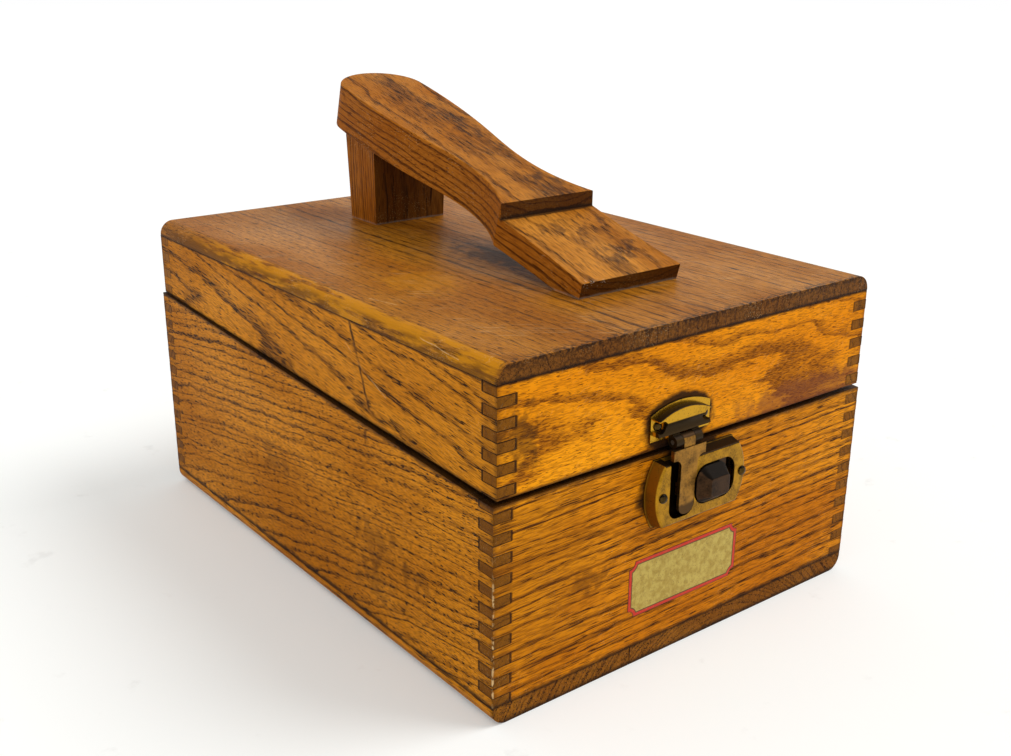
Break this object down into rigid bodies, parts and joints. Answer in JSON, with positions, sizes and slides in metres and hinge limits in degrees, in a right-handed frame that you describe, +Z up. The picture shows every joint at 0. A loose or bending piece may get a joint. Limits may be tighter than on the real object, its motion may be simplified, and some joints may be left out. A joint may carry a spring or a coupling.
{
  "type": "shoe shine box",
  "caption": "Finger-jointed oak case with a sloping rear-hinged lid, a shoe-shaped foot rest on top and a brass hasp with a sliding release button.",
  "frame": {"origin": "middle of the whole object's box, on the surface the box stands on", "axes": "+Z up, +Y towards the hinges at the rear, +X to the right as seen from the side with the lock"},
  "size_m": [0.2334, 0.3346, 0.2414],
  "materials": {
    "oak_front": "oiled and aged, warm orange brown",
    "oak_side": "oiled and aged, warm brown",
    "oak_flat": "worn, tan brown with polish stains",
    "oak_foot_rest": "worn, red brown",
    "aged_brass": "aged, with dark patina in the recesses",
    "dark_steel": "dark, worn bright at the edges",
    "screw_steel": "plain, dulled",
    "label_foil": "thin gold-coloured sheet with a printed border"
  },
  "bodies": {
    "base": {"base_front_board": "oak_front", "base_back_board": "oak_front", "base_left_board": "oak_side", "base_right_board": "oak_side", "bottom_board_left": "oak_flat", "bottom_board_right": "oak_flat", "base_hinge_leaf_left": "aged_brass", "base_hinge_leaf_right": "aged_brass", "base_hinge_screws": "aged_brass", "hinge_pin_left": "screw_steel", "hinge_pin_right": "screw_steel", "latch_case": "aged_brass", "latch_back_plate": "aged_brass", "latch_case_nails": "aged_brass", "latch_spring": "screw_steel", "label": "label_foil"},
    "lid": {"lid_front_board": "oak_front", "lid_back_board": "oak_front", "lid_left_board": "oak_side", "lid_right_board": "oak_side", "top_board_left": "oak_flat", "top_board_right": "oak_flat", "foot_rest_sole": "oak_foot_rest", "foot_rest_heel_block": "oak_foot_rest", "foot_rest_screws": "screw_steel", "lid_hinge_leaf_left": "aged_brass", "lid_hinge_leaf_right": "aged_brass", "lid_hinge_screws": "aged_brass", "lid_latch_plate": "aged_brass", "lid_plate_nails": "aged_brass", "hasp_pin": "screw_steel"},
    "hasp": {"hasp": "aged_brass"},
    "bolt": {"latch_bolt": "dark_steel", "latch_button": "dark_steel"}
  },
  "joints": [
    {"name": "lid_hinge", "type": "hinge", "parent": "base", "child": "lid", "pos_m": [0, 0.1647, 0.1202], "axis": [-1, 0, 0], "range_deg": [0, 175]},
    {"name": "hasp_hinge", "type": "hinge", "parent": "lid", "child": "hasp", "pos_m": [-0.0135, -0.1588, 0.1085], "axis": [-1, 0, 0], "range_deg": [0, 110]},
    {"name": "button_slide", "type": "slide", "parent": "base", "child": "bolt", "axis": [1, 0, 0], "range_m": [0, 0.0055], "stiffness_N_per_m": 150, "springref_m": -0.004, "deforming": ["latch_spring"]}
  ]
}
